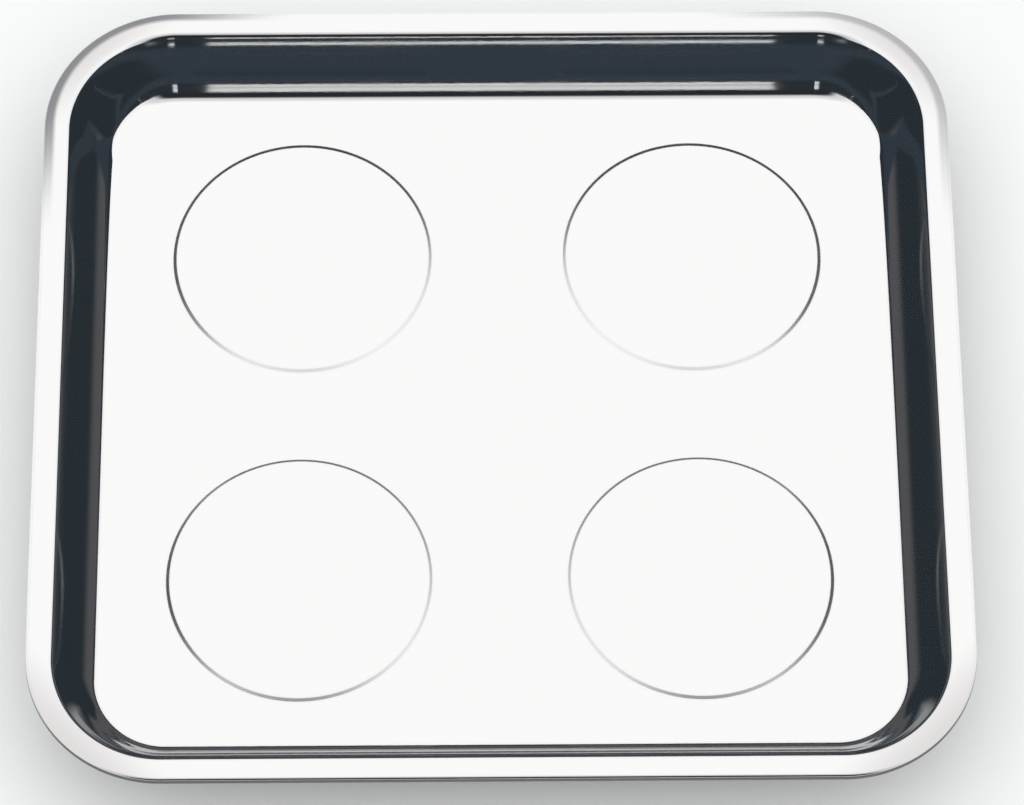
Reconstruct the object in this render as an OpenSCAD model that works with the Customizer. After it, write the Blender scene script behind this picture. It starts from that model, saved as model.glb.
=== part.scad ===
// Magnetic parts tray: a pressed stainless pan with a curled rim, four raised round seats in its
// floor, and under each seat a ring magnet in a rubber boot, held up by a nut on a weld stud.
// Millimetres, +Z up. The origin is on the bench, under the middle of the tray. +X is the long side.

/* [Pan] */
// Width over the rim, along X
tray_w = 290; // [270:1:340]
// Depth over the rim, along Y
tray_d = 269; // [250:1:320]
// Corner radius of the rim, seen from above
corner_r = 42; // [36:1:50]
// Height of the rim above the floor
pan_depth = 25; // [18:0.5:40]
// Thickness of the stainless sheet
sheet_t = 0.7; // [0.5:0.1:1]
// Lean of the side walls away from upright at their steepest, in degrees
wall_lean = 26; // [12:1:34]
// Inside radius between the floor and the foot of a wall
floor_bend_r = 7.4; // [3:0.1:9]
// Inside radius of the foot, which eases the floor bend into a wall
foot_r = 60; // [40:1:70]
// Angle that the foot turns through, in degrees
foot_turn = 7; // [3:0.5:8]
// Top radius of the crown, which eases a wall into the lip bend
crown_r = 115; // [60:1:130]
// Angle that the crown turns through, in degrees
crown_turn = 3; // [1:0.5:4]
// Top radius of the lip bend, where the crown turns over into the rim
lip_bend_r = 4.5; // [2.5:0.1:6]
// Flat land along the top of the rim
rim_land = 2.3; // [0.5:0.1:4]
// Outside radius of the curled edge
curl_r = 2.3; // [1.8:0.1:4]
// Angle that the curled edge turns through, in degrees
curl_turn = 250; // [180:5:290]

/* [Magnet seats] */
// Gap between two boots, along X
seat_gap_x = 49.2; // [30:0.1:60]
// Gap between two boots, along Y
seat_gap_y = 37.8; // [20:0.1:48]
// Height of a seat above the floor
seat_h = 1; // [0.6:0.1:2]
// Slope of the step round a seat, in degrees
seat_slope = 38; // [20:1:45]
// Inside radius of the upper bend of that step; the lower bend has the same radius on top
seat_bend_r = 0.2; // [0.1:0.1:1]
// Clearance between a boot and the step, all round
seat_clearance = 2.1; // [0.3:0.1:3]

/* [Ring magnets] */
// Outside diameter of a magnet
magnet_d = 70; // [62:1:76]
// Bore of a magnet
magnet_bore_d = 30; // [28:1:38]
// Thickness of a magnet
magnet_t = 12; // [10:0.5:18]
// Chamfer on a magnet's edges
magnet_chamfer = 0.6; // [0.2:0.1:1.5]

/* [Rubber boots] */
// Wall of a boot round its magnet
boot_wall = 2.8; // [1.5:0.1:5]
// Clearance between a magnet and the wall of its boot
boot_clearance = 0.2; // [0.1:0.05:0.5]
// Thickness of the lip that is clamped under a magnet
boot_lip_t = 0.6; // [0.4:0.1:1.5]
// Set-back of that lip from the magnet's bore
boot_lip_setback = 1; // [0.5:0.1:3]
// Radius of a boot's lower outer edge
boot_edge_r = 1.6; // [0.5:0.1:2.4]

/* [Retainers] */
// Thickness of the dished steel retainer
retainer_t = 1; // [0.8:0.1:1.4]
// Height of its flange above the bench
retainer_recess = 0.9; // [0.5:0.1:3]
// Overlap of its flange under the magnet
retainer_overlap = 6; // [4:0.5:9]
// Clearance between its flange and the boot
retainer_flange_clearance = 0.6; // [0.2:0.1:1.5]
// Clearance between its dish and the magnet's bore
retainer_dish_clearance = 0.8; // [0.3:0.1:2]
// Inner radius of its two bends
retainer_bend_r = 1; // [0.5:0.1:1.5]

/* [Studs, washers and nuts] */
// Thread diameter of a weld stud
stud_d = 6; // [5:0.5:7]
// Diameter of a stud's weld collar
stud_collar_d = 9; // [8:0.5:12]
// Thickness of a stud's weld collar
stud_collar_t = 0.8; // [0.5:0.1:1.5]
// Chamfer at a stud's end
stud_chamfer = 0.6; // [0.3:0.1:1]
// Length of stud that shows under its nut
stud_show = 0.3; // [0.1:0.1:0.5]
// Radial clearance in the nut's thread
thread_clearance = 0.05; // [0.02:0.01:0.1]
// Radial clearance of a stud in the washer and in the retainer
stud_clearance = 0.2; // [0.1:0.05:0.5]
// Width of a nut across its flats
nut_flats = 10; // [9:0.5:13]
// Height of a nut
nut_h = 5; // [4:0.5:6]
// Height of a nut's lower face above the bench
nut_recess = 1.2; // [0.8:0.1:3]
// Angle of the chamfer on a nut's corners, in degrees
nut_chamfer_angle = 30; // [20:1:40]
// Outside diameter of a lock washer
washer_d = 11.8; // [10:0.1:15]
// Thickness of a lock washer
washer_t = 1.6; // [1:0.1:2]
// Width of the split in a lock washer
washer_split = 0.8; // [0.4:0.1:1.5]
// Slant of that split, in degrees
washer_split_slant = 25; // [0:1:35]

/* [Hidden] */
// Facets of the round shapes, and the largest step along an arc, in degrees
$fn = 96;
arc_step = 10;
// Angle of a quarter turn, in degrees
quarter_turn = 90;
// Length by which a cutter runs past what it cuts
cut_past = 1;
// Sides of a nut
hex_sides = 6;

// Heights, from the bench up
retainer_flange_top = retainer_recess + retainer_t;
boot_base_t = retainer_flange_top + boot_lip_t;
seat_ceiling_z = boot_base_t + magnet_t;
floor_z = seat_ceiling_z + sheet_t - seat_h;
nut_top = nut_recess + nut_h;
dish_floor_z = nut_top + washer_t;
stud_end_z = nut_recess - stud_show;

// Radii of the parts of one magnet unit
magnet_r = magnet_d / 2;
magnet_bore_r = magnet_bore_d / 2;
boot_bore_r = magnet_r + boot_clearance;
boot_r = boot_bore_r + boot_wall;
flange_r = magnet_bore_r + retainer_overlap;
boot_mouth_r = flange_r + retainer_flange_clearance;
boot_lip_r = magnet_bore_r + boot_lip_setback;
dish_r = magnet_bore_r - retainer_dish_clearance;
stud_r = stud_d / 2;
stud_hole_r = stud_r + stud_clearance;

// The step round a seat: two bends and a straight slope between them
step_bend_r = min(seat_bend_r + sheet_t, seat_h / (2 * (1 - cos(seat_slope))));
step_straight = (seat_h - 2 * step_bend_r * (1 - cos(seat_slope))) / sin(seat_slope);
step_run = 2 * step_bend_r * sin(seat_slope) + step_straight * cos(seat_slope);
seat_flat_r = boot_r + seat_clearance;
seat_foot_r = seat_flat_r + step_run;
seat_x = boot_r + seat_gap_x / 2;
seat_y = boot_r + seat_gap_y / 2;

// The pan's wall section: the slopes where its four bends meet, and the straight stretch that is left
wall_slope = quarter_turn - wall_lean;
foot_slope = wall_slope - foot_turn;
crown_slope = wall_slope - crown_turn;
BENDS = [
    [floor_bend_r, 0, foot_slope],
    [foot_r, foot_slope, wall_slope],
    [crown_r, crown_slope, wall_slope],
    [lip_bend_r, 0, crown_slope]
];
bends_rise = sum([for (bend = BENDS) bend[0] * (cos(bend[1]) - cos(bend[2]))]);
bends_run = sum([for (bend = BENDS) bend[0] * (sin(bend[2]) - sin(bend[1]))]);
wall_run = bends_run + (pan_depth - bends_rise) * tan(wall_lean);

// The centres of its arcs, from the middle of the corner radius outwards and from the floor up
corner_x = tray_w / 2 - corner_r;
corner_y = tray_d / 2 - corner_r;
curl_centre = [corner_r - curl_r, pan_depth - curl_r];
lip_centre = [curl_centre[0] - rim_land, pan_depth - lip_bend_r];
floor_centre = [lip_centre[0] - wall_run, floor_bend_r];
foot_centre = floor_centre + (floor_bend_r - foot_r) * heading(foot_slope - quarter_turn);
crown_centre = lip_centre + (lip_bend_r - crown_r) * heading(crown_slope + quarter_turn);

// The four magnet units, each with its name and its place in the tray
UNITS = [
    ["front_left", -1, -1],
    ["front_right", 1, -1],
    ["rear_left", -1, 1],
    ["rear_right", 1, 1]
];
PIECES = ["magnet", "boot", "retainer", "stud", "washer", "nut"];

function sum(values) = values * [for (value = values) 1];

// Unit vector at an angle
function heading(angle) = [cos(angle), sin(angle)];

// Points along an arc about a centre, from one angle to another
function arc(centre, r, from, to) =
    let (steps = ceil(abs(to - from) / arc_step))
    [for (i = [0 : steps]) centre + r * heading(from + (to - from) * i / steps)];

// All points but the first, for an arc that carries on from another
function rest(points) = [for (i = [1 : len(points) - 1]) points[i]];

function reversed(points) = [for (i = [len(points) - 1 : -1 : 0]) points[i]];

// A closed outline of bent sheet, from the points of its two faces in the same order
function sheet_outline(face, back) = concat(face, reversed(back));

// One face of the pan's wall section, at a depth below the upper face
function pan_face(depth) = concat(
    [[0, -depth]],
    arc(floor_centre, floor_bend_r + depth, -quarter_turn, foot_slope - quarter_turn),
    rest(arc(foot_centre, foot_r + depth, foot_slope - quarter_turn, wall_slope - quarter_turn)),
    arc(crown_centre, crown_r - depth, wall_slope + quarter_turn, crown_slope + quarter_turn),
    rest(arc(lip_centre, lip_bend_r - depth, crown_slope + quarter_turn, quarter_turn)),
    arc(curl_centre, curl_r - depth, quarter_turn, quarter_turn - curl_turn)
);

// One face of a raised seat, at a depth below the upper face
function seat_face(depth) = concat(
    [[0, seat_h - depth]],
    arc([seat_flat_r, seat_h - step_bend_r], step_bend_r - depth, quarter_turn, quarter_turn - seat_slope),
    arc([seat_foot_r, step_bend_r], step_bend_r + depth, -quarter_turn - seat_slope, -quarter_turn)
);

// One face of a retainer, at a distance above its lower face, from the hole out to the flange
function retainer_face(above) =
    let (lower_bend_r = retainer_bend_r + above, upper_bend_r = retainer_bend_r + retainer_t - above)
    concat(
        [[stud_hole_r, dish_floor_z + above]],
        arc([dish_r - retainer_t - retainer_bend_r, dish_floor_z - retainer_bend_r],
            lower_bend_r, quarter_turn, 0),
        arc([dish_r + retainer_bend_r, retainer_flange_top + retainer_bend_r],
            upper_bend_r, -2 * quarter_turn, -quarter_turn),
        [[flange_r, retainer_recess + above]]
    );

// The pan's wall section
module pan_section() {
    polygon(sheet_outline(pan_face(0), pan_face(sheet_t)));
}

// One straight side of the pan, with the strip of floor inside it, for a half-length
module pan_side(out, half_length) {
    translate([out, half_length, 0]) rotate([quarter_turn, 0, 0])
        linear_extrude(2 * half_length) pan_section();
}

// The pan without its seats: floor, four straight sides and four round corners
module plain_pan() {
    translate([-corner_x, -corner_y, -sheet_t]) cube([2 * corner_x, 2 * corner_y, sheet_t]);
    for (turn = [0, 2 * quarter_turn]) rotate(turn) {
        pan_side(corner_x, corner_y);
        rotate(quarter_turn) pan_side(corner_y, corner_x);
        translate([corner_x, corner_y, 0]) rotate_extrude(angle = quarter_turn) pan_section();
        translate([-corner_x, corner_y, 0]) rotate(quarter_turn)
            rotate_extrude(angle = quarter_turn) pan_section();
    }
}

// Puts its children at the middle of one magnet unit
module at_unit(unit) {
    translate([unit[1] * seat_x, unit[2] * seat_y, 0]) children();
}

module pan() {
    color([0.86, 0.87, 0.88]) translate([0, 0, floor_z]) {
        difference() {
            plain_pan();
            for (unit = UNITS) at_unit(unit)
                translate([0, 0, -sheet_t - cut_past]) cylinder(r = seat_foot_r, h = sheet_t + 2 * cut_past);
        }
        for (unit = UNITS) at_unit(unit)
            rotate_extrude() polygon(sheet_outline(seat_face(0), seat_face(sheet_t)));
    }
}

// Ferrite ring, seated between the boot's base and the pan
module magnet() {
    c = magnet_chamfer;
    color([0.17, 0.17, 0.18]) translate([0, 0, boot_base_t]) rotate_extrude() polygon([
        [magnet_bore_r, c], [magnet_bore_r + c, 0], [magnet_r - c, 0], [magnet_r, c],
        [magnet_r, magnet_t - c], [magnet_r - c, magnet_t],
        [magnet_bore_r + c, magnet_t], [magnet_bore_r, magnet_t - c]
    ]);
}

// Rubber cup round the magnet, open in the middle, with a thin lip between magnet and retainer
module boot() {
    color([0.07, 0.07, 0.075]) rotate_extrude() polygon(concat(
        [[boot_mouth_r, 0]],
        arc([boot_r - boot_edge_r, boot_edge_r], boot_edge_r, -quarter_turn, 0),
        [
            [boot_r, seat_ceiling_z], [boot_bore_r, seat_ceiling_z], [boot_bore_r, boot_base_t],
            [boot_lip_r, boot_base_t], [boot_lip_r, retainer_flange_top], [boot_mouth_r, retainer_flange_top]
        ]
    ));
}

// Pressed steel disc whose flange holds the boot's lip and the magnet, dished to take the nut
module retainer() {
    color([0.74, 0.74, 0.72]) rotate_extrude()
        polygon(sheet_outline(retainer_face(0), retainer_face(retainer_t)));
}

// Stud with a weld collar, standing down from the underside of a seat
module stud() {
    color([0.72, 0.66, 0.58]) rotate_extrude() polygon([
        [0, stud_end_z], [stud_r - stud_chamfer, stud_end_z], [stud_r, stud_end_z + stud_chamfer],
        [stud_r, seat_ceiling_z - stud_collar_t], [stud_collar_d / 2, seat_ceiling_z - stud_collar_t],
        [stud_collar_d / 2, seat_ceiling_z], [0, seat_ceiling_z]
    ]);
}

// Split lock washer, pressed flat between the nut and the retainer
module washer() {
    color([0.62, 0.63, 0.64]) difference() {
        translate([0, 0, nut_top]) cylinder(d = washer_d, h = washer_t);
        translate([0, 0, nut_top - cut_past]) cylinder(r = stud_hole_r, h = washer_t + 2 * cut_past);
        translate([washer_d / 2, 0, nut_top + washer_t / 2]) rotate([washer_split_slant, 0, 0])
            cube([washer_d, washer_split, 3 * washer_t], center = true);
    }
}

// Hexagon nut with chamfered corners
module nut() {
    flat_r = nut_flats / 2;
    corner_reach = flat_r / cos(2 * quarter_turn / hex_sides);
    chamfer_drop = (corner_reach - flat_r) * tan(nut_chamfer_angle);
    color([0.76, 0.76, 0.74]) difference() {
        intersection() {
            translate([0, 0, nut_recess]) cylinder(r = corner_reach, h = nut_h, $fn = hex_sides);
            translate([0, 0, nut_recess]) rotate_extrude() polygon([
                [0, 0], [flat_r, 0], [corner_reach, chamfer_drop],
                [corner_reach, nut_h - chamfer_drop], [flat_r, nut_h], [0, nut_h]
            ]);
        }
        translate([0, 0, nut_recess - cut_past])
            cylinder(r = stud_r + thread_clearance, h = nut_h + 2 * cut_past);
    }
}

pan();
for (unit = UNITS) at_unit(unit) {
    magnet();
    boot();
    retainer();
    stud();
    washer();
    nut();
}
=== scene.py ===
"""Magnetic parts tray: a polished pan with a curled rim, and the booted ring magnets under it."""
import math

import bmesh
import bpy
from mathutils import Matrix, Vector


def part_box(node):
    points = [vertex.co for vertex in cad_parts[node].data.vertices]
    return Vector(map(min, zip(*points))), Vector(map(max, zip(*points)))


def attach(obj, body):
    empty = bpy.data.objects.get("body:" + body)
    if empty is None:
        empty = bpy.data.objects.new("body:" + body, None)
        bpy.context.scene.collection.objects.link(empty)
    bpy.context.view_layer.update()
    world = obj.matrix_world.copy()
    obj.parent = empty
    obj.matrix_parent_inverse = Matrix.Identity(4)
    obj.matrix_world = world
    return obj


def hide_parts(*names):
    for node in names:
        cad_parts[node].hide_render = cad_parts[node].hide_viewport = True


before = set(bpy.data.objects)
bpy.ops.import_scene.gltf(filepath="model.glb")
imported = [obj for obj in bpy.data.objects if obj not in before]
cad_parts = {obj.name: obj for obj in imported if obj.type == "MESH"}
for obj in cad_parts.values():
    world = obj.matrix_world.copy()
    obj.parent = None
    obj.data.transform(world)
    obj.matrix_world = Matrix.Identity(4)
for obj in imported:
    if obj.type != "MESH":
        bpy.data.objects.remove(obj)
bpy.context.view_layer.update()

bl_info = {
    "name": "Magnetic Parts Tray",
    "version": (1, 0, 0),
    "blender": (4, 5, 0),
    "location": "3D View > Sidebar > Parts Tray",
    "description": "Builds a magnetic parts tray and its studio around the packed solids",
    "category": "Add Mesh",
}

MM = 0.001
# Points closer than this are one point
TOUCH = 1e-6
UP = Vector((0, 0, 1))
WHITE = (1, 1, 1)
# Edges that turn by more than this stay sharp
SHARP_TURN = math.radians(32)
# Middle band of a noise texture's values
NOISE_LOW, NOISE_HIGH = 0.3, 0.7
# Sum of the two distances from the middle at which the painted grey shade of a corner starts and is full
RIM_CORNER_FROM, RIM_CORNER_TO = 0.230, 0.256
# Depths below the rim's top between which that painted shade fades in
RIM_TOP_FROM, RIM_TOP_FULL = 2 * MM, 0.3 * MM
# Distances in from the rim's outside at which the painted grey shade on the far curl starts and is full
FAR_CURL_FROM, FAR_CURL_FULL = 4.2 * MM, 2.4 * MM
# Sum of the sideways and backward distances from the middle at which that painted shade starts and is full
FAR_CORNER_FROM, FAR_CORNER_TO = 0.195, 0.245
# Strength of that painted shade at the far right corner, as a share of the left one's
FAR_RIGHT_SHARE = 0.55
# Distances in from the rim's outside at which the painted dark shade on the near edge starts and is full
NEAR_EDGE_FROM, NEAR_EDGE_FULL = 0.45 * MM, 0.25 * MM
# Added roughness of the steps round the seats, where the pressing has drawn the polish
STEP_DULLNESS = 0.32
# Reaches to the back, as shares of the distance, at which the low side room and the wings start and are full
SIDE_BACK = 0.2, 0.35
WINGS_BACK = 0.5, 0.6
# Width of the camera's sensor in millimetres, and how far it sees in metres
SENSOR_WIDTH, CLIP_END = 36, 50
UNITS = ("front_left", "front_right", "rear_left", "rear_right")
PAN_LOW, PAN_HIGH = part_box("pan")
BOOT_LOW, BOOT_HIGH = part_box("boot_front_left")
MAGNET_LOW, MAGNET_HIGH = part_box("magnet_front_left")
RETAINER_LOW, RETAINER_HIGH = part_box("retainer_front_left")
STUD_LOW, STUD_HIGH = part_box("stud_front_left")
WASHER_LOW, WASHER_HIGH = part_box("washer_front_left")
NUT_LOW, NUT_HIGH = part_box("nut_front_left")


def length(name, description, default):
    """A length property, in metres, with its default given in millimetres."""
    return bpy.props.FloatProperty(
        name=name, description=description, default=default * MM, unit="LENGTH", precision=5
    )


def turn(name, description, default):
    """An angle property, with its default given in degrees."""
    return bpy.props.FloatProperty(
        name=name, description=description, default=math.radians(default), subtype="ANGLE"
    )


def tint(name, description, default):
    """A colour property."""
    return bpy.props.FloatVectorProperty(
        name=name, description=description, default=default, subtype="COLOR", min=0, max=1
    )


def share(name, description, default):
    """A plain number from 0 up."""
    return bpy.props.FloatProperty(name=name, description=description, default=default, min=0)


def count(name, description, default):
    """A whole number of faces or rings."""
    return bpy.props.IntProperty(name=name, description=description, default=default, min=3)


class PanSizes(bpy.types.PropertyGroup):
    """Sizes of the pressed pan."""

    corner_r: length("Corner radius", "Radius of the rim's corners, seen from above", 42)
    sheet_t: length("Sheet thickness", "Thickness of the stainless sheet", 0.7)
    wall_lean: turn("Wall lean", "Lean of the side walls away from upright, at their steepest", 26)
    floor_bend_r: length("Floor bend", "Inside radius between the floor and the foot of a wall", 7.4)
    foot_r: length("Foot radius", "Inside radius that eases the floor bend into a wall", 60)
    foot_turn: turn("Foot turn", "Angle that the foot turns through", 7)
    crown_r: length("Crown radius", "Top radius that eases a wall into the lip bend", 115)
    crown_turn: turn("Crown turn", "Angle that the crown turns through", 3)
    lip_bend_r: length("Lip bend", "Top radius where a wall turns over into the rim", 4.5)
    rim_land: length("Rim land", "Flat land along the top of the rim", 2.3)
    curl_r: length("Curl radius", "Outside radius of the curled edge", 2.3)
    curl_turn: turn("Curl turn", "How far round the edge is curled", 250)
    seat_h: length("Seat height", "Height of a seat above the floor", 1)
    seat_slope: turn("Seat slope", "Slope of the step round a seat", 40)
    seat_bend_r: length("Seat bend", "Top radius of the two bends of that step", 0.9)
    seat_clearance: length("Seat clearance", "Clearance between a boot and the step", 2.1)
    bend_step: turn("Bend step", "Largest turn between two edges along a bend", 5)
    ease_step: turn("Ease step", "Largest turn between two edges along a foot or a crown", 0.5)
    corner_steps: count("Corner steps", "Faces round one corner", 40)
    seat_steps: count("Seat steps", "Faces round one seat", 144)


class UnitSizes(bpy.types.PropertyGroup):
    """Sizes inside one magnet unit, which the solids share."""

    magnet_bore_r: length("Magnet bore", "Radius of a ring magnet's bore", 15)
    magnet_chamfer: length("Magnet chamfer", "Chamfer on a ring magnet's edges", 0.6)
    boot_bore_r: length("Boot bore", "Radius of a boot's cavity", 35.2)
    boot_mouth_r: length("Boot mouth", "Radius of the mouth in a boot's underside", 21.6)
    boot_lip_r: length("Boot lip", "Radius of the hole in a boot's clamped lip", 16)
    boot_lip_t: length("Boot lip thickness", "Thickness of that lip", 0.6)
    boot_edge_r: length("Boot edge", "Radius of a boot's lower outer edge", 1.6)
    moulded_r: length("Moulded edge", "Radius of a boot's other edges", 0.4)
    retainer_t: length("Retainer thickness", "Thickness of a dished retainer", 1)
    retainer_bend_r: length("Retainer bend", "Inner radius of a retainer's two bends", 1)
    dish_r: length("Dish radius", "Outside radius of a retainer's dish", 14.2)
    burr_r: length("Blunted edge", "Radius of the edges of retainers, washers and stud collars", 0.15)
    stud_hole_r: length("Stud hole", "Radius of the holes that a stud passes through", 3.2)
    stud_r: length("Stud radius", "Thread radius of a weld stud", 3)
    stud_chamfer: length("Stud chamfer", "Chamfer at a stud's end", 0.6)
    collar_t: length("Collar thickness", "Thickness of a stud's weld collar", 0.8)
    thread_pitch: length("Thread pitch", "Rise of a stud's thread in one turn", 1)
    thread_depth: length("Thread depth", "Depth of a stud's thread", 0.5)
    washer_split: length("Washer split", "Width of the split in a lock washer", 0.8)
    washer_slant: turn("Washer slant", "Slant of that split", 25)
    nut_bore_r: length("Nut bore", "Radius of a nut's bore", 3.05)
    nut_mouth: length("Nut mouth", "Chamfer at the two ends of that bore", 0.4)
    nut_face_r: length("Nut face", "Radius of the flat ring on a nut's two ends", 4.8)
    nut_chamfer: turn("Nut chamfer", "Angle of the chamfer on a nut's corners", 30)
    round_steps: count("Round steps", "Faces round one turned piece", 96)
    thread_steps: count("Thread steps", "Rings along one turn of a thread", 8)


class FinishColours(bpy.types.PropertyGroup):
    """Colours of the finishes, and of the grey and dark shade painted on the rim."""

    steel: tint("Steel", "Mirror polished stainless sheet", (0.95, 0.95, 0.945))
    # Painted shade: a greyer steel colour on the rim's corners that stands in for grey reflections there
    painted_corner_shade: tint("Painted corner shade", "Painted grey shade on the rim's corners", (0.74, 0.715, 0.715))
    # Painted shade: a dark grey steel colour on the outer rim at the far corners that stands in for a dark
    # reflection
    painted_far_curl_shade: tint("Painted far curl shade", "Painted grey shade on the outer rim at the far corners", (0.27, 0.275, 0.29))
    # Painted shade: a near-black colour low on the near curl that stands in for a dark reflection line
    painted_near_edge_shade: tint("Painted near edge shade", "Painted dark shade low on the curl along the near side", (0.14, 0.14, 0.145))
    underside: tint("Underside", "Satin underside of the stainless sheet", (0.45, 0.45, 0.445))
    rubber: tint("Rubber", "Moulded boots", (0.028, 0.028, 0.030))
    ferrite: tint("Ferrite", "Ring magnets", (0.065, 0.065, 0.070))
    zinc: tint("Zinc", "Plated retainers and nuts", (0.66, 0.67, 0.68))
    stud: tint("Stud", "Copper flashed studs", (0.62, 0.45, 0.34))
    spring: tint("Spring steel", "Lock washers", (0.42, 0.43, 0.45))


class StageSettings(bpy.types.PropertyGroup):
    """The camera, the floor, the lamp and the tones of the room."""

    camera_azimuth: turn("Camera azimuth", "Turn of the camera to the right", -1.351)
    camera_elevation: turn("Camera elevation", "Height of the camera above the horizon", 63.264)
    camera_roll: turn("Camera roll", "Tilt of the camera about its own line of sight", 0.894)
    camera_distance: length("Camera distance", "From the aim point to the camera", 1590.2)
    camera_aim_x: length("Aim X", "Aim point on the tray's floor", 4.26)
    camera_aim_y: length("Aim Y", "Aim point on the tray's floor", 4.46)
    lens: share("Lens", "Focal length in millimetres, on a 36 mm sensor", 176.2)
    floor: tint("Floor", "Pale table", (0.955, 0.97, 0.965))
    floor_r: length("Floor radius", "Radius of the pale table", 6000)
    floor_steps: count("Floor steps", "Faces round the edge of the pale table", 96)
    key: share("Key light", "Share of the table's light that comes from the lamp", 0.55)
    key_elevation: turn("Key elevation", "Height of the lamp over the horizon, past 90 to the front", 95)
    key_soft: turn("Key softness", "Width of the lamp, seen from the tray", 90)
    ambient: share("Ambient light", "Share of the table's light that comes from the room", 0.46)
    low_room: tint("Low room", "What polished faces see near the horizon", (0.90, 0.90, 0.91))
    low_from: turn("Low from", "Elevation below which the low room is darkest", 2)
    low_to: turn("Low to", "Elevation above which the low room is white", 25)
    shade: tint("Shade", "Grey of the room above its dark front", (0.68, 0.68, 0.69))
    shade_from: turn("Shade from", "Angle from straight ahead within which that grey is full", 30)
    shade_to: turn("Shade to", "Angle from straight ahead outside which that grey ends", 48)
    front_room: tint("Front room", "Dark room in front of the set", (0.020, 0.023, 0.027))
    front_from: turn("Front from", "Angle from straight ahead within which the front room is darkest", 18)
    front_to: turn("Front to", "Angle from straight ahead outside which the front room ends", 30)
    dark_room: tint("Dark room", "What two polished faces see by way of each other", (0.0220, 0.0295, 0.0360))
    side_room: tint("Side room", "Lighter room that two polished faces see low down", (0.085, 0.085, 0.090))
    side_from: turn("Side from", "Elevation below which the side room is full", 20)
    side_to: turn("Side to", "Elevation above which the side room has ended", 27)
    panel: tint("Panel", "Light panel at the back that two polished faces see", (0.67, 0.68, 0.69))
    panel_from: turn("Panel from", "Elevation below which that panel isn't seen", 51.4)
    panel_to: turn("Panel to", "Elevation above which that panel is full", 54.4)
    panel_top: turn("Panel top", "Elevation above which that panel fades out overhead", 64)
    panel_end: turn("Panel end", "Elevation above which that panel has ended", 70)
    panel_half: share("Panel half width", "Sideways reach of that panel, as a share of its distance", 0.11)
    wings: tint("Wings", "Light panels to both sides of that panel", (0.25, 0.26, 0.27))
    wings_inner: share("Wings inner edge", "Sideways reach at which the wings start", 0.05)
    wings_outer: share("Wings outer edge", "Sideways reach at which the wings end", 0.46)
    wings_soft: share("Wings softness", "Sideways reach in which an edge of a wing fades", 0.16)
    wings_from: turn("Wings from", "Elevation below which the wings aren't seen", 31)
    wings_to: turn("Wings to", "Elevation above which the wings are full", 37)
    wings_top: turn("Wings top", "Elevation above which the wings fade out", 44.5)
    wings_end: turn("Wings end", "Elevation above which the wings have ended", 48.5)
    far_room: tint("Far room", "What three polished faces see by way of each other", (0.0320, 0.0435, 0.0580))
    strip: tint("Strip", "Light strip low at the back that three polished faces see", (0.55, 0.55, 0.56))
    strip_from: turn("Strip from", "Elevation below which that strip isn't seen", 6.5)
    strip_to: turn("Strip to", "Elevation above which that strip is full", 8)
    strip_side: turn("Strip side", "Angle from straight back within which that strip is full", 25)
    strip_end: turn("Strip end", "Angle from straight back outside which that strip ends", 40)


class SectionPen:
    """Draws an open section as a chain of edges in a bmesh's XZ plane, from straight runs and bends."""

    def __init__(self, bm, x, z):
        self.bm = bm
        self.vert = bm.verts.new((x, 0, z))
        self.verts = [self.vert]

    def run(self, distance, slope):
        """Draws a straight run at a slope, which is 0 outwards and a quarter turn upwards."""
        made = bmesh.ops.extrude_vert_indiv(self.bm, verts=[self.vert])
        self.vert = made["verts"][0]
        self.vert.co += distance * Vector((math.cos(slope), 0, math.sin(slope)))
        self.verts.append(self.vert)

    def bend(self, radius, before, after, step):
        """Draws an arc from one slope to another, with a negative radius where the slope falls."""
        centre = self.vert.co + radius * Vector((-math.sin(before), 0, math.cos(before)))
        steps = max(2, math.ceil(abs(after - before) / step))
        for _ in range(steps):
            made = bmesh.ops.spin(
                self.bm, geom=[self.vert], cent=centre, axis=(0, -1, 0),
                angle=(after - before) / steps, steps=1,
            )
            self.vert = next(v for v in made["geom_last"] if isinstance(v, bmesh.types.BMVert))
            self.verts.append(self.vert)

    def geometry(self):
        """The chain's vertices, and the edges between them."""
        chain = set(self.verts)
        edges = {e for v in self.verts for e in v.link_edges if set(e.verts) <= chain}
        return self.verts + list(edges)


def unit_centre(unit):
    """Middle of one magnet unit, on the bench."""
    low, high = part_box(f"boot_{unit}")
    middle = (low + high) / 2
    return Vector((middle.x, middle.y, 0))


def corner_middle(sizes):
    """Middle of the rim's far right corner, seen from above."""
    return Vector((PAN_HIGH.x - sizes.corner_r, PAN_HIGH.y - sizes.corner_r))


def half_width(low, high):
    """Outside radius of a round solid, from its box."""
    return (high.x - low.x) / 2


def boundary_edges(bm, z):
    """Open edges that lie at one height."""
    return [e for e in bm.edges if e.is_boundary and all(abs(v.co.z - z) < TOUCH for v in e.verts)]


def link_piece(name, bm, materials, nodes):
    """Makes a smooth-shaded piece from a bmesh, which rides on the tray and stands for its solids."""
    mesh = bpy.data.meshes.new(name)
    bm.to_mesh(mesh)
    bm.free()
    mesh.shade_smooth()
    mesh.set_sharp_from_angle(angle=SHARP_TURN)
    for material in materials:
        mesh.materials.append(material)
    piece = bpy.data.objects.new(name, mesh)
    bpy.context.scene.collection.objects.link(piece)
    weighted = piece.modifiers.new("Weighted normals", "WEIGHTED_NORMAL")
    weighted.keep_sharp = True
    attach(piece, "root")
    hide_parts(*nodes)
    return piece


def new_material(name, colour, metallic, roughness):
    """A principled material, with its node tree and shader."""
    material = bpy.data.materials.new(name)
    material.use_nodes = True
    shader = material.node_tree.nodes["Principled BSDF"]
    shader.inputs["Base Color"].default_value = (*colour, 1)
    shader.inputs["Metallic"].default_value = metallic
    shader.inputs["Roughness"].default_value = roughness
    material.diffuse_color = (*colour, 1)
    return material, material.node_tree, shader


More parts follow.
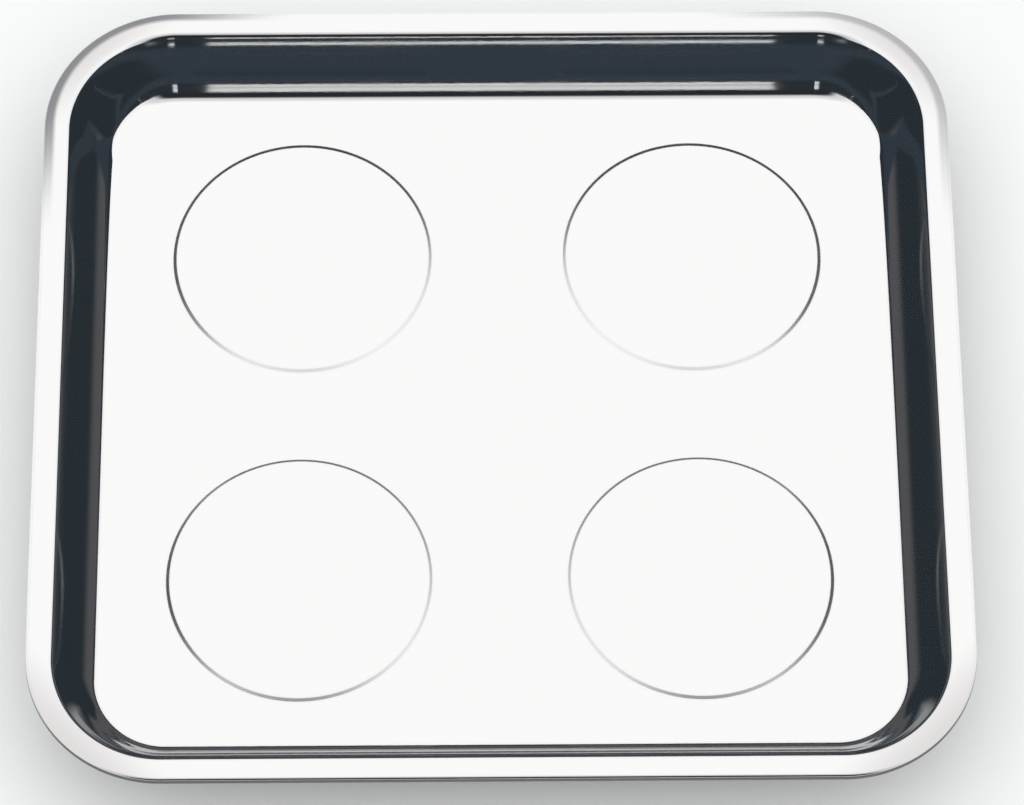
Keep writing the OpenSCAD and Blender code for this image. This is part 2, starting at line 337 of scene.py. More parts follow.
def math_node(tree, operation, first, second):
    """A maths node on sockets or numbers."""
    node = tree.nodes.new("ShaderNodeMath")
    node.operation = operation
    for socket, value in zip(node.inputs, (first, second)):
        if isinstance(value, bpy.types.NodeSocket):
            tree.links.new(value, socket)
        else:
            socket.default_value = value
    return node.outputs["Value"]


def smooth_rise(tree, value, low, high):
    """Rises smoothly from 0 to 1 as a value goes from low to high."""
    node = tree.nodes.new("ShaderNodeMapRange")
    node.interpolation_type = "SMOOTHSTEP"
    node.inputs["From Min"].default_value = low
    node.inputs["From Max"].default_value = high
    tree.links.new(value, node.inputs["Value"])
    return node.outputs["Result"]


def smooth_band(tree, value, start, full, fade, end):
    """Rises from 0 to 1 between start and full, and falls back to 0 between fade and end."""
    rise = smooth_rise(tree, value, start, full)
    return math_node(tree, "MULTIPLY", rise, smooth_rise(tree, value, end, fade))


def mix_tone(tree, amount, under, over):
    """Mixes two tones, each a socket or a colour."""
    node = tree.nodes.new("ShaderNodeMix")
    node.data_type = "RGBA"
    sockets = [s for s in node.inputs if s.type == "RGBA"]
    for socket, tone in zip(sockets, (under, over)):
        if isinstance(tone, bpy.types.NodeSocket):
            tree.links.new(tone, socket)
        else:
            socket.default_value = (*tone, 1)
    tree.links.new(amount, node.inputs["Factor"])
    return next(s for s in node.outputs if s.type == "RGBA")


def add_noise(tree, scale, detail=2.0, stretch=(1, 1, 1)):
    """A noise texture on object coordinates, in features per metre along each axis."""
    coordinates = tree.nodes.new("ShaderNodeTexCoord")
    mapping = tree.nodes.new("ShaderNodeMapping")
    mapping.inputs["Scale"].default_value = stretch
    noise = tree.nodes.new("ShaderNodeTexNoise")
    noise.inputs["Scale"].default_value = scale
    noise.inputs["Detail"].default_value = detail
    tree.links.new(coordinates.outputs["Object"], mapping.inputs["Vector"])
    tree.links.new(mapping.outputs["Vector"], noise.inputs["Vector"])
    return noise.outputs["Fac"]


def add_range(tree, value, low, high):
    """Maps a noise value from its middle band to a new range."""
    node = tree.nodes.new("ShaderNodeMapRange")
    node.inputs["From Min"].default_value = NOISE_LOW
    node.inputs["From Max"].default_value = NOISE_HIGH
    node.inputs["To Min"].default_value = low
    node.inputs["To Max"].default_value = high
    tree.links.new(value, node.inputs["Value"])
    return node.outputs["Result"]


def add_bump(tree, shader, height, distance, under=None):
    """A bump layer, a distance deep, over an earlier one if that is given."""
    bump = tree.nodes.new("ShaderNodeBump")
    bump.inputs["Strength"].default_value = 1
    bump.inputs["Distance"].default_value = distance
    tree.links.new(height, bump.inputs["Height"])
    if under:
        tree.links.new(under, bump.inputs["Normal"])
    tree.links.new(bump.outputs["Normal"], shader.inputs["Normal"])
    return bump.outputs["Normal"]


def add_place(tree):
    """The X, Y and Z of a point on the piece."""
    coordinates = tree.nodes.new("ShaderNodeTexCoord")
    split = tree.nodes.new("ShaderNodeSeparateXYZ")
    tree.links.new(coordinates.outputs["Object"], split.inputs["Vector"])
    return split.outputs


def add_distance(tree, place, middle, outside=False):
    """Distance from a middle in each quarter of the tray, or from the rectangle between those middles."""
    squares = []
    for axis, start in zip("XY", middle):
        reach = math_node(tree, "SUBTRACT", math_node(tree, "ABSOLUTE", place[axis], 0), start)
        if outside:
            reach = math_node(tree, "MAXIMUM", reach, 0)
        squares.append(math_node(tree, "MULTIPLY", reach, reach))
    return math_node(tree, "SQRT", math_node(tree, "ADD", *squares), 0)


def add_corner_shade_mask(tree, place):
    """Rises from 0 to 1 towards the middles of the rim's four corners, where grey shade is painted on the
    rim.
    """
    outwards = math_node(tree, "ADD", math_node(tree, "ABSOLUTE", place["X"], 0),
                         math_node(tree, "ABSOLUTE", place["Y"], 0))
    corner = smooth_rise(tree, outwards, RIM_CORNER_FROM, RIM_CORNER_TO)
    rim = smooth_rise(tree, place["Z"], PAN_HIGH.z - RIM_TOP_FROM, PAN_HIGH.z - RIM_TOP_FULL)
    return math_node(tree, "MULTIPLY", corner, rim)


def add_near_edge_shade_mask(tree, place, outwards, corner_r):
    """Rises from 0 to 1 at the outermost edge of the curled rim, along the near side of the tray, where dark
    shade is painted.
    """
    edge = smooth_rise(tree, outwards, corner_r - NEAR_EDGE_FROM, corner_r - NEAR_EDGE_FULL)
    forwards = math_node(tree, "MULTIPLY", place["Y"], -1)
    near = smooth_rise(tree, forwards, PAN_HIGH.y / 2, PAN_HIGH.y - corner_r / 4)
    return math_node(tree, "MULTIPLY", edge, near)


def add_far_curl_shade_mask(tree, place, outwards, corner_r):
    """Rises from 0 to 1 on the outer rim at the far left corner, and to a share of that at the far right,
    where grey shade is painted.
    """
    curl = smooth_rise(tree, outwards, corner_r - FAR_CURL_FROM, corner_r - FAR_CURL_FULL)
    backwards = math_node(tree, "ADD", math_node(tree, "ABSOLUTE", place["X"], 0), place["Y"])
    far = smooth_rise(tree, backwards, FAR_CORNER_FROM, FAR_CORNER_TO)
    right = smooth_rise(tree, place["X"], -corner_r, corner_r)
    less = math_node(tree, "MULTIPLY", right, 1 - FAR_RIGHT_SHARE)
    far = math_node(tree, "MULTIPLY", far, math_node(tree, "SUBTRACT", 1, less))
    return math_node(tree, "MULTIPLY", curl, far)


def add_seat_steps(tree, place, sizes):
    """Rises from 0 to 1 on the steps round the four seats."""
    seat_r, foot_r = seat_radii(sizes)
    outwards = add_distance(tree, place, unit_centre("rear_right").xy)
    fade = (foot_r - seat_r) / 4
    return smooth_band(tree, outwards, seat_r - fade, seat_r + fade, foot_r - fade, foot_r + fade)


def polished_steel(colours, sizes):
    """Mirror polish with faint polishing lines, hazy wipe marks and the slow waves of pressed sheet, with
    grey and dark shade painted on the rim's corners and edges.
    """
    material, tree, shader = new_material("polished_stainless", colours.steel, metallic=1, roughness=0.05)
    haze = add_noise(tree, scale=45, detail=4)
    place = add_place(tree)
    steps = math_node(tree, "MULTIPLY", add_seat_steps(tree, place, sizes), STEP_DULLNESS)
    dullness = math_node(tree, "ADD", add_range(tree, haze, low=0.03, high=0.07), steps)
    tree.links.new(dullness, shader.inputs["Roughness"])
    # Painted shade: greyer colour on the rim's corners, dark grey on the far curl and near black low on the
    # near curl stand in for reflections
    tone = mix_tone(tree, add_corner_shade_mask(tree, place), colours.steel, colours.painted_corner_shade)
    outwards = add_distance(tree, place, corner_middle(sizes), outside=True)
    tone = mix_tone(tree, add_far_curl_shade_mask(tree, place, outwards, sizes.corner_r), tone, colours.painted_far_curl_shade)
    tone = mix_tone(tree, add_near_edge_shade_mask(tree, place, outwards, sizes.corner_r), tone, colours.painted_near_edge_shade)
    tree.links.new(tone, shader.inputs["Base Color"])
    waves = add_bump(tree, shader, add_noise(tree, scale=13, detail=1), 0.05 * MM)
    lines = add_noise(tree, scale=260, detail=3, stretch=(1, 14, 14))
    add_bump(tree, shader, lines, 0.002 * MM, under=waves)
    return material


def satin_underside(colours):
    """Unpolished mill finish of the sheet's other side, with rolling lines along X."""
    material, tree, shader = new_material("satin_stainless", colours.underside, metallic=1, roughness=0.34)
    sheen = add_range(tree, add_noise(tree, scale=60, detail=5), low=0.28, high=0.42)
    tree.links.new(sheen, shader.inputs["Roughness"])
    add_bump(tree, shader, add_noise(tree, scale=110, detail=4, stretch=(1, 30, 30)), 0.012 * MM)
    return material


def moulded_rubber(colours):
    """Matt black rubber with a fine moulded grain."""
    material, tree, shader = new_material("black_rubber", colours.rubber, metallic=0, roughness=0.62)
    sheen = add_range(tree, add_noise(tree, scale=90, detail=4), low=0.52, high=0.72)
    tree.links.new(sheen, shader.inputs["Roughness"])
    add_bump(tree, shader, add_noise(tree, scale=2600, detail=3), 0.04 * MM)
    return material


def plated_steel(name, colour, roughness):
    """Plated or bare steel with a fine uneven sheen."""
    material, tree, shader = new_material(name, colour, metallic=1, roughness=roughness)
    patches = add_noise(tree, scale=420, detail=4)
    sheen = add_range(tree, patches, low=roughness - 0.08, high=roughness + 0.08)
    tree.links.new(sheen, shader.inputs["Roughness"])
    add_bump(tree, shader, add_noise(tree, scale=1900, detail=3), 0.01 * MM)
    return material


def zinc_plate(colours):
    """Bright zinc, which the retainers and the nuts share."""
    made = bpy.data.materials.get("zinc_plate")
    return made or plated_steel("zinc_plate", colours.zinc, roughness=0.32)


def copper_flash(colours):
    """Thin copper of the weld studs."""
    return plated_steel("stud_steel", colours.stud, roughness=0.35)


def spring_steel(colours):
    """Bare hardened steel of the lock washers."""
    return plated_steel("spring_steel", colours.spring, roughness=0.4)


def sintered_ferrite(colours):
    """Dark ground ferrite."""
    material, tree, shader = new_material("ferrite", colours.ferrite, metallic=0.2, roughness=0.5)
    sheen = add_range(tree, add_noise(tree, scale=500, detail=4), low=0.42, high=0.6)
    tree.links.new(sheen, shader.inputs["Roughness"])
    add_bump(tree, shader, add_noise(tree, scale=1600, detail=4), 0.03 * MM)
    return material


def wall_bends(sizes):
    """The four bends of the wall from the floor up, each as its radius and its slope before and after."""
    steep = math.pi / 2 - sizes.wall_lean
    foot, brow = steep - sizes.foot_turn, steep - sizes.crown_turn
    return (
        (sizes.floor_bend_r, 0, foot),
        (sizes.foot_r, foot, steep),
        (-sizes.crown_r, steep, brow),
        (-sizes.lip_bend_r, brow, 0),
    )


def wall_straight(sizes, depth):
    """Length of the straight stretch of wall between the foot and the crown."""
    rise = sum(r * (math.cos(before) - math.cos(after)) for r, before, after in wall_bends(sizes))
    return (depth - rise) / math.cos(sizes.wall_lean)


def floor_edge(sizes, depth):
    """Distance from the middle of a corner to the edge of the flat floor."""
    run = sum(r * (math.sin(after) - math.sin(before)) for r, before, after in wall_bends(sizes))
    run += wall_straight(sizes, depth) * math.sin(sizes.wall_lean)
    return sizes.corner_r - sizes.curl_r - sizes.rim_land - run


def draw_wall_section(pen, sizes, depth):
    """Continues a pen from the floor's edge up the wall, over the lip and round the curl."""
    floor, foot, crown, lip = wall_bends(sizes)
    pen.bend(*floor, sizes.bend_step)
    pen.bend(*foot, sizes.ease_step)
    pen.run(wall_straight(sizes, depth), math.pi / 2 - sizes.wall_lean)
    pen.bend(*crown, sizes.ease_step)
    pen.bend(*lip, sizes.bend_step)
    pen.run(sizes.rim_land, 0)
    pen.bend(-sizes.curl_r, 0, -sizes.curl_turn, sizes.bend_step)


def sweep_round_pan(bm, pen, corner, steps):
    """Carries a section along four sides and round four corners, back to where it started."""
    last = pen.geometry()
    sides = ((0, 1), (-1, 0), (0, -1), (1, 0))
    corners = ((1, 1), (-1, 1), (-1, -1), (1, -1))
    for (along_x, along_y), (side_x, side_y) in zip(sides, corners):
        edges = [g for g in last if isinstance(g, bmesh.types.BMEdge)]
        made = bmesh.ops.extrude_edge_only(bm, edges=edges)["geom"]
        moved = [g for g in made if isinstance(g, bmesh.types.BMVert)]
        bmesh.ops.translate(bm, verts=moved, vec=(2 * corner.x * along_x, 2 * corner.y * along_y, 0))
        last = moved + [g for g in made if isinstance(g, bmesh.types.BMEdge)]
        last = bmesh.ops.spin(
            bm, geom=last, cent=(corner.x * side_x, corner.y * side_y, 0), axis=UP,
            angle=math.pi / 2, steps=steps,
        )["geom_last"]
    bmesh.ops.remove_doubles(bm, verts=bm.verts[:], dist=TOUCH)


def step_straight(sizes):
    """Length of the straight stretch between the two bends of a seat's step."""
    bends_h = 2 * sizes.seat_bend_r * (1 - math.cos(sizes.seat_slope))
    return (sizes.seat_h - bends_h) / math.sin(sizes.seat_slope)


def seat_radii(sizes):
    """Radii of a seat's flat top and of the foot of its step."""
    seat_r = half_width(BOOT_LOW, BOOT_HIGH) + sizes.seat_clearance
    bends_w = 2 * sizes.seat_bend_r * math.sin(sizes.seat_slope)
    step = bends_w + step_straight(sizes) * math.cos(sizes.seat_slope)
    return seat_r, seat_r + step


def add_seat(bm, sizes, centre, floor_z):
    """Adds the step of one raised seat, and its flat top."""
    _, foot_r = seat_radii(sizes)
    bend = sizes.seat_bend_r
    inwards, climbing = math.pi, math.pi - sizes.seat_slope
    step = bmesh.new()
    pen = SectionPen(step, foot_r, 0)
    pen.bend(-bend, inwards, climbing, sizes.bend_step)
    pen.run(step_straight(sizes), climbing)
    pen.bend(bend, climbing, inwards, sizes.bend_step)
    bmesh.ops.spin(
        step, geom=pen.geometry(), cent=(0, 0, 0), axis=UP, angle=math.tau,
        steps=sizes.seat_steps, use_merge=True,
    )
    bmesh.ops.remove_doubles(step, verts=step.verts[:], dist=TOUCH)
    bmesh.ops.edgeloop_fill(step, edges=boundary_edges(step, sizes.seat_h))
    bmesh.ops.translate(step, verts=step.verts[:], vec=centre + UP * floor_z)
    mesh = bpy.data.meshes.new("seat")
    step.to_mesh(mesh)
    step.free()
    bm.from_mesh(mesh)
    bpy.data.meshes.remove(mesh)


def draw_outline(corners, segments):
    """A closed outline in the XZ plane, from corners given as radius, height and rounding."""
    bm = bmesh.new()
    verts = [bm.verts.new((x, 0, z)) for x, z, _ in corners]
    bm.faces.new(verts)
    for vert, (_, _, rounding) in zip(verts, corners):
        if rounding:
            bmesh.ops.bevel(
                bm, geom=[vert], offset=rounding, segments=segments, profile=0.5,
                affect="VERTICES", material=-1,
            )
    bmesh.ops.delete(bm, geom=bm.faces[:], context="FACES_ONLY")
    return bm


def turn_outline(bm, steps, angle=math.tau):
    """Turns an outline round the Z axis, either once round or as far as an angle, and closes its ends."""
    on_axis = [e for e in bm.edges if all(v.co.x < TOUCH for v in e.verts)]
    bmesh.ops.delete(bm, geom=on_axis, context="EDGES")
    bmesh.ops.spin(
        bm, geom=bm.verts[:] + bm.edges[:], cent=(0, 0, 0), axis=UP, angle=angle, steps=steps,
        use_merge=angle == math.tau,
    )
    bmesh.ops.remove_doubles(bm, verts=bm.verts[:], dist=TOUCH)
    ends = [e for e in bm.edges if e.is_boundary]
    if ends:
        bmesh.ops.holes_fill(bm, edges=ends, sides=0)
    bmesh.ops.recalc_face_normals(bm, faces=bm.faces[:])
    return bm


def turn_magnet(sizes):
    """A ring magnet with chamfered edges."""
    bore, outside, chamfer = sizes.magnet_bore_r, half_width(MAGNET_LOW, MAGNET_HIGH), sizes.magnet_chamfer
    low, high = MAGNET_LOW.z, MAGNET_HIGH.z
    outline = draw_outline([
        (bore, low, chamfer), (outside, low, chamfer), (outside, high, chamfer), (bore, high, chamfer),
    ], segments=1)
    return turn_outline(outline, sizes.round_steps)


def turn_boot(sizes):
    """A rubber cup with rounded edges, and the thin lip that is clamped under the magnet."""
    outside, soft = half_width(BOOT_LOW, BOOT_HIGH), sizes.moulded_r
    base_z = MAGNET_LOW.z
    lip_z = base_z - sizes.boot_lip_t
    outline = draw_outline([
        (sizes.boot_mouth_r, BOOT_LOW.z, soft), (outside, BOOT_LOW.z, sizes.boot_edge_r),
        (outside, BOOT_HIGH.z, soft), (sizes.boot_bore_r, BOOT_HIGH.z, soft),
        (sizes.boot_bore_r, base_z, 0), (sizes.boot_lip_r, base_z, 0),
        (sizes.boot_lip_r, lip_z, 0), (sizes.boot_mouth_r, lip_z, 0),
    ], segments=6)
    return turn_outline(outline, sizes.round_steps)


def turn_retainer(sizes):
    """A pressed disc with a flange below and a dish that stands up round the nut."""
    sheet, tight, blunt = sizes.retainer_t, sizes.retainer_bend_r, sizes.burr_r
    wide = tight + sheet
    outside, hole, dish = half_width(RETAINER_LOW, RETAINER_HIGH), sizes.stud_hole_r, sizes.dish_r
    low, high = RETAINER_LOW.z, RETAINER_HIGH.z
    outline = draw_outline([
        (hole, high - sheet, blunt), (dish - sheet, high - sheet, tight), (dish - sheet, low, wide),
        (outside, low, blunt), (outside, low + sheet, blunt), (dish, low + sheet, tight),
        (dish, high, wide), (hole, high, blunt),
    ], segments=6)
    return turn_outline(outline, sizes.round_steps)


def cut_thread(bm, sizes, low, high):
    """Moves the vertices of a shank inwards along a helix, fading out at both ends."""
    for vert in bm.verts:
        if low < vert.co.z < high and abs(vert.co.xy.length - sizes.stud_r) < TOUCH:
            round_turn = math.atan2(vert.co.y, vert.co.x)
            climb = math.tau * vert.co.z / sizes.thread_pitch
            groove = sizes.thread_depth * (1 - math.cos(climb - round_turn)) / 2
            fade = min(1, (vert.co.z - low) / sizes.thread_pitch, (high - vert.co.z) / sizes.thread_pitch)
            vert.co.xy = vert.co.xy * (1 - groove * fade / sizes.stud_r)


def turn_stud(sizes):
    """A threaded stud that hangs from its weld collar."""
    shank, collar = sizes.stud_r, half_width(STUD_LOW, STUD_HIGH)
    low, high = STUD_LOW.z, STUD_HIGH.z
    collar_z = high - sizes.collar_t
    thread_z = low + sizes.stud_chamfer
    outline = draw_outline([
        (0, low, 0), (shank - sizes.stud_chamfer, low, 0), (shank, thread_z, 0), (shank, collar_z, 0),
        (collar, collar_z, sizes.burr_r), (collar, high, 0), (0, high, 0),
    ], segments=3)
    shaft = [e for e in outline.edges if all(abs(v.co.x - shank) < TOUCH for v in e.verts)]
    rings = round((collar_z - thread_z) / sizes.thread_pitch * sizes.thread_steps)
    bmesh.ops.subdivide_edges(outline, edges=shaft, cuts=rings)
    stud = turn_outline(outline, sizes.round_steps // 2)
    cut_thread(stud, sizes, thread_z, collar_z)
    return stud


def turn_washer(sizes):
    """A lock washer with a slanting split."""
    hole, outside, blunt = sizes.stud_hole_r, half_width(WASHER_LOW, WASHER_HIGH), sizes.burr_r
    low, high = WASHER_LOW.z, WASHER_HIGH.z
    outline = draw_outline([
        (hole, low, blunt), (outside, low, blunt), (outside, high, blunt), (hole, high, blunt),
    ], segments=3)
    middle_r = (hole + outside) / 2
    gap = sizes.washer_split / middle_r
    washer = turn_outline(outline, sizes.round_steps, math.tau - gap)
    for vert in washer.verts:
        slide = (vert.co.z - (low + high) / 2) * math.tan(sizes.washer_slant) / middle_r
        vert.co = Matrix.Rotation(gap / 2 + slide, 3, "Z") @ vert.co
    return washer


def turn_nut(sizes):
    """A hexagon nut: a turned blank whose outer rings are moved out to the hexagon and its chamfer."""
    bore, mouth, face = sizes.nut_bore_r, sizes.nut_mouth, sizes.nut_face_r
    flat_r = (NUT_HIGH.y - NUT_LOW.y) / 2
    low, high = NUT_LOW.z, NUT_HIGH.z
    outline = draw_outline([
        (bore, low + mouth, 0), (bore + mouth, low, 0), (face, low, 0), (flat_r, low, 0),
        (flat_r, high, 0), (face, high, 0), (bore + mouth, high, 0), (bore, high - mouth, 0),
    ], segments=1)
    nut = turn_outline(outline, sizes.round_steps)
    sector = math.pi / 3
    for vert in nut.verts:
        if abs(vert.co.xy.length - flat_r) < TOUCH:
            from_flat = math.atan2(vert.co.y, vert.co.x) % sector - sector / 2
            reach = flat_r / math.cos(from_flat)
            drop = (reach - face) * math.tan(sizes.nut_chamfer)
            vert.co.xy = vert.co.xy * (reach / flat_r)
            vert.co.z += drop if vert.co.z < (low + high) / 2 else -drop
    bmesh.ops.recalc_face_normals(nut, faces=nut.faces[:])
    return nut


def make_units(context, name, node, finish, shape):
    """Makes one piece for each magnet unit, in place of its solid."""
    material = finish(context.scene.tray_colours)
    for unit in UNITS:
        bm = shape(context.scene.tray_unit)
        bmesh.ops.translate(bm, verts=bm.verts[:], vec=unit_centre(unit))
        link_piece(f"{name}_{unit}", bm, [material], [f"{node}_{unit}"])
    return {"FINISHED"}


class TRAY_OT_pan(bpy.types.Operator):
    """Press the stainless pan: floor, raised seats, leaning walls and curled rim"""

    bl_idname = "tray.pan"
    bl_label = "Pan"

    def execute(self, context):
        sizes, colours = context.scene.tray_pan, context.scene.tray_colours
        floor_z = PAN_LOW.z + sizes.sheet_t
        depth = PAN_HIGH.z - floor_z
        corner = corner_middle(sizes)
        bm = bmesh.new()
        pen = SectionPen(bm, floor_edge(sizes, depth), 0)
        draw_wall_section(pen, sizes, depth)
        bmesh.ops.translate(bm, verts=bm.verts[:], vec=(corner.x, -corner.y, 0))
        sweep_round_pan(bm, pen, corner, sizes.corner_steps)
        bmesh.ops.translate(bm, verts=bm.verts[:], vec=UP * floor_z)
        for unit in UNITS:
            add_seat(bm, sizes, unit_centre(unit), floor_z)
        bmesh.ops.triangle_fill(
            bm, edges=boundary_edges(bm, floor_z), use_beauty=True, use_dissolve=False, normal=UP
        )
        bmesh.ops.recalc_face_normals(bm, faces=bm.faces[:])
        middle = min(bm.faces, key=lambda f: f.calc_center_median().length_squared)
        if middle.normal.z < 0:
            bmesh.ops.reverse_faces(bm, faces=bm.faces[:])
        finishes = [polished_steel(colours, sizes), satin_underside(colours)]
        pan = link_piece("pan_sheet", bm, finishes, ["pan"])
        shell = pan.modifiers.new("Sheet thickness", "SOLIDIFY")
        shell.thickness = sizes.sheet_t
        shell.offset = -1
        shell.use_even_offset = True
        shell.material_offset = 1
        # The sheet gets its thickness before its normals are weighted
        pan.modifiers.move(1, 0)
        return {"FINISHED"}


class TRAY_OT_magnets(bpy.types.Operator):
    """Make the ring magnets"""

    bl_idname = "tray.magnets"
    bl_label = "Ring magnets"

    def execute(self, context):
        return make_units(context, "ring_magnet", "magnet", sintered_ferrite, turn_magnet)


class TRAY_OT_boots(bpy.types.Operator):
    """Mould the rubber boots, which are the tray's feet"""

    bl_idname = "tray.boots"
    bl_label = "Rubber boots"

    def execute(self, context):
        return make_units(context, "moulded_boot", "boot", moulded_rubber, turn_boot)


class TRAY_OT_retainers(bpy.types.Operator):
    """Press the dished retainers"""

    bl_idname = "tray.retainers"
    bl_label = "Dished retainers"

    def execute(self, context):
        return make_units(context, "dished_retainer", "retainer", zinc_plate, turn_retainer)


class TRAY_OT_studs(bpy.types.Operator):
    """Make the threaded weld studs"""

    bl_idname = "tray.studs"
    bl_label = "Weld studs"

    def execute(self, context):
        return make_units(context, "weld_stud", "stud", copper_flash, turn_stud)


class TRAY_OT_washers(bpy.types.Operator):
    """Make the split lock washers"""

    bl_idname = "tray.washers"
    bl_label = "Lock washers"

    def execute(self, context):
        return make_units(context, "lock_washer", "washer", spring_steel, turn_washer)


class TRAY_OT_nuts(bpy.types.Operator):
    """Make the hexagon nuts"""

    bl_idname = "tray.nuts"
    bl_label = "Hexagon nuts"

    def execute(self, context):
        return make_units(context, "hexagon_nut", "nut", zinc_plate, turn_nut)


class TRAY_OT_stage(bpy.types.Operator):
    """Set up the pale floor, the white surroundings, the lamp and the camera"""

    bl_idname = "tray.stage"
    bl_label = "Stage"

    def execute(self, context):
        stage = context.scene.tray_stage
        self.make_floor(context.scene, stage)
        self.make_key(context.scene, stage)
        self.make_world(context.scene, stage)
        self.make_camera(context.scene, stage)
        context.scene.view_settings.view_transform = "Standard"
        return {"FINISHED"}

    def make_floor(self, scene, stage):
        """A pale matt table, which keeps the shadow."""
        bm = bmesh.new()
        bmesh.ops.create_circle(bm, cap_ends=True, segments=stage.floor_steps, radius=stage.floor_r)
        mesh = bpy.data.meshes.new("floor")
        bm.to_mesh(mesh)
        bm.free()
        material, _, shader = new_material("pale_floor", stage.floor, metallic=0, roughness=0.8)
        shader.inputs["Specular IOR Level"].default_value = 0
        mesh.materials.append(material)
        floor = bpy.data.objects.new("floor", mesh)
        scene.collection.objects.link(floor)

    def make_key(self, scene, stage):
        """A broad soft lamp over the tray, which only matt surfaces see."""
        data = bpy.data.lights.new("key", "SUN")
        data.energy = stage.key * math.pi / math.sin(stage.key_elevation)
        data.angle = stage.key_soft
        key = bpy.data.objects.new("key", data)
        to_lamp = Vector((0, math.cos(stage.key_elevation), math.sin(stage.key_elevation)))
        key.rotation_euler = to_lamp.to_track_quat("Z", "Y").to_euler()
        key.visible_glossy = False
        scene.collection.objects.link(key)

    def seen_once(self, tree, stage, height, back):
        """What one polished face sees: white, paler grey near the horizon, and a dark room in front."""
        ahead = math_node(tree, "MULTIPLY", back, -1)
        low = smooth_rise(tree, height, math.sin(stage.low_to), math.sin(stage.low_from))
        shade = smooth_rise(tree, ahead, math.cos(stage.shade_to), math.cos(stage.shade_from))
        front = smooth_rise(tree, ahead, math.cos(stage.front_to), math.cos(stage.front_from))
        tone = mix_tone(tree, low, WHITE, stage.low_room)
        tone = mix_tone(tree, shade, tone, stage.shade)
        return mix_tone(tree, front, tone, stage.front_room)

    def seen_twice(self, tree, stage, height, back, sideways):
        """What two polished faces see: a dark room, lighter low down, with a light panel and its wings."""
        side = smooth_rise(tree, height, math.sin(stage.side_to), math.sin(stage.side_from))
        side = math_node(tree, "MULTIPLY", side, smooth_rise(tree, back, *SIDE_BACK))
        tone = mix_tone(tree, side, stage.dark_room, stage.side_room)

        inner, outer, soft = stage.wings_inner, stage.wings_outer, stage.wings_soft
        wings = smooth_band(tree, sideways, inner, inner + soft, outer - soft, outer)
        edges = (stage.wings_from, stage.wings_to, stage.wings_top, stage.wings_end)
        wings = math_node(tree, "MULTIPLY", wings, smooth_band(tree, height, *map(math.sin, edges)))
        wings = math_node(tree, "MULTIPLY", wings, smooth_rise(tree, back, *WINGS_BACK))
        tone = mix_tone(tree, wings, tone, stage.wings)

        panel = smooth_rise(tree, height, math.sin(stage.panel_from), math.sin(stage.panel_to))
        below_top = smooth_rise(tree, back, math.cos(stage.panel_end), math.cos(stage.panel_top))
        inside = smooth_rise(tree, sideways, stage.panel_half, stage.panel_half / 2)
        panel = math_node(tree, "MULTIPLY", math_node(tree, "MULTIPLY", panel, below_top), inside)
        return mix_tone(tree, panel, tone, stage.panel)

    def seen_often(self, tree, stage, height, back):
        """What three or more polished faces see: a dark room, with a light strip straight back."""
        strip = smooth_rise(tree, height, math.sin(stage.strip_from), math.sin(stage.strip_to))
        straight_back = smooth_rise(tree, back, math.cos(stage.strip_end), math.cos(stage.strip_side))
        strip = math_node(tree, "MULTIPLY", strip, straight_back)
        return mix_tone(tree, strip, stage.far_room, stage.strip)

    def make_world(self, scene, stage):
        """White surroundings, and the tones that polished faces find there one, two or more bounces away."""
        world = bpy.data.worlds.new("white_room")
        world.use_nodes = True
        tree = world.node_tree
        path = tree.nodes.new("ShaderNodeLightPath").outputs
        direction = tree.nodes.new("ShaderNodeTexCoord")
        split = tree.nodes.new("ShaderNodeSeparateXYZ")
        tree.links.new(direction.outputs["Generated"], split.inputs["Vector"])
        height, back = split.outputs["Z"], split.outputs["Y"]
        sideways = math_node(tree, "ABSOLUTE", split.outputs["X"], 0)
        tones = (
            self.seen_once(tree, stage, height, back),
            self.seen_twice(tree, stage, height, back, sideways),
            self.seen_often(tree, stage, height, back),
        )
        seen = WHITE
        for bounces, tone in enumerate(tones):
            deeper = math_node(tree, "GREATER_THAN", path["Glossy Depth"], bounces + 0.5)
            seen = mix_tone(tree, deeper, seen, tone)
        looks = math_node(tree, "ADD", path["Is Camera Ray"], path["Is Glossy Ray"])
        looks = math_node(tree, "ADD", looks, path["Is Transmission Ray"])
        direct = math_node(tree, "LESS_THAN", path["Diffuse Depth"], 0.5)
        looks = math_node(tree, "MULTIPLY", looks, direct)
        lit = mix_tone(tree, looks, [stage.ambient] * 3, seen)
        tree.links.new(lit, tree.nodes["Background"].inputs["Color"])
        scene.world = world

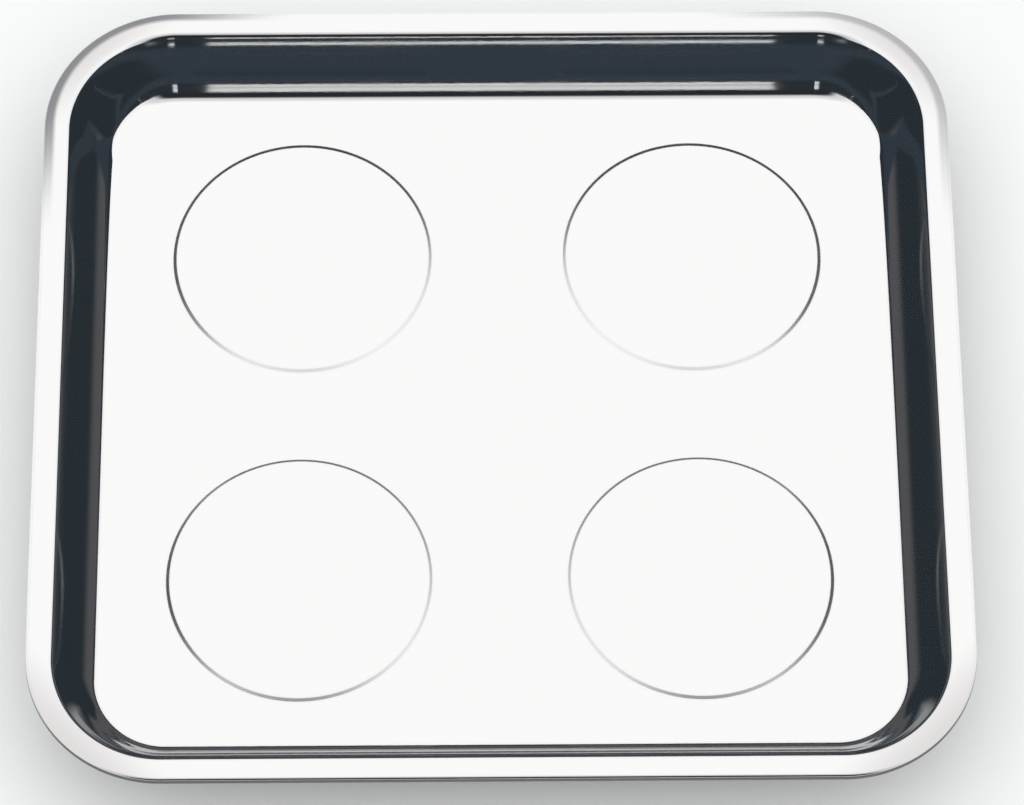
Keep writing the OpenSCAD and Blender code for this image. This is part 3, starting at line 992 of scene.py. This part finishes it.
    def make_camera(self, scene, stage):
        """A long-lens camera in front of the tray and above it."""
        data = bpy.data.cameras.new("camera")
        data.sensor_width = SENSOR_WIDTH
        data.lens = stage.lens
        data.clip_end = CLIP_END
        camera = bpy.data.objects.new("camera", data)
        scene.collection.objects.link(camera)
        flat = math.cos(stage.camera_elevation)
        back = Vector((
            math.sin(stage.camera_azimuth) * flat,
            -math.cos(stage.camera_azimuth) * flat,
            math.sin(stage.camera_elevation),
        ))
        floor_z = PAN_LOW.z + scene.tray_pan.sheet_t
        aim = Vector((stage.camera_aim_x, stage.camera_aim_y, floor_z))
        turned = (-back).to_track_quat("-Z", "Y").to_matrix().to_4x4()
        rolled = Matrix.Rotation(stage.camera_roll, 4, "Z")
        camera.matrix_world = Matrix.Translation(aim + back * stage.camera_distance) @ turned @ rolled
        scene.camera = camera


class TRAY_PT_panel(bpy.types.Panel):
    """Lists the tray's pieces and their sizes"""

    bl_idname = "TRAY_PT_panel"
    bl_label = "Magnetic Parts Tray"
    bl_space_type = "VIEW_3D"
    bl_region_type = "UI"
    bl_category = "Parts Tray"

    def draw(self, context):
        for operator in OPERATORS:
            self.layout.operator(operator.bl_idname)
        for setting in SETTINGS:
            group = getattr(context.scene, setting)
            column = self.layout.column()
            for name in group.bl_rna.properties.keys():
                if name not in {"rna_type", "name"}:
                    column.prop(group, name)


SETTINGS = {
    "tray_pan": PanSizes,
    "tray_unit": UnitSizes,
    "tray_colours": FinishColours,
    "tray_stage": StageSettings,
}
OPERATORS = (
    TRAY_OT_pan, TRAY_OT_magnets, TRAY_OT_boots, TRAY_OT_retainers,
    TRAY_OT_studs, TRAY_OT_washers, TRAY_OT_nuts, TRAY_OT_stage,
)
CLASSES = (*SETTINGS.values(), *OPERATORS, TRAY_PT_panel)


def register():
    for item in CLASSES:
        bpy.utils.register_class(item)
    for setting, group in SETTINGS.items():
        setattr(bpy.types.Scene, setting, bpy.props.PointerProperty(type=group))


def unregister():
    for setting in SETTINGS:
        delattr(bpy.types.Scene, setting)
    for item in reversed(CLASSES):
        bpy.utils.unregister_class(item)


def main():
    register()
    bpy.ops.tray.pan()
    bpy.ops.tray.magnets()
    bpy.ops.tray.boots()
    bpy.ops.tray.retainers()
    bpy.ops.tray.studs()
    bpy.ops.tray.washers()
    bpy.ops.tray.nuts()
    bpy.ops.tray.stage()


if __name__ == "__main__":
    main()
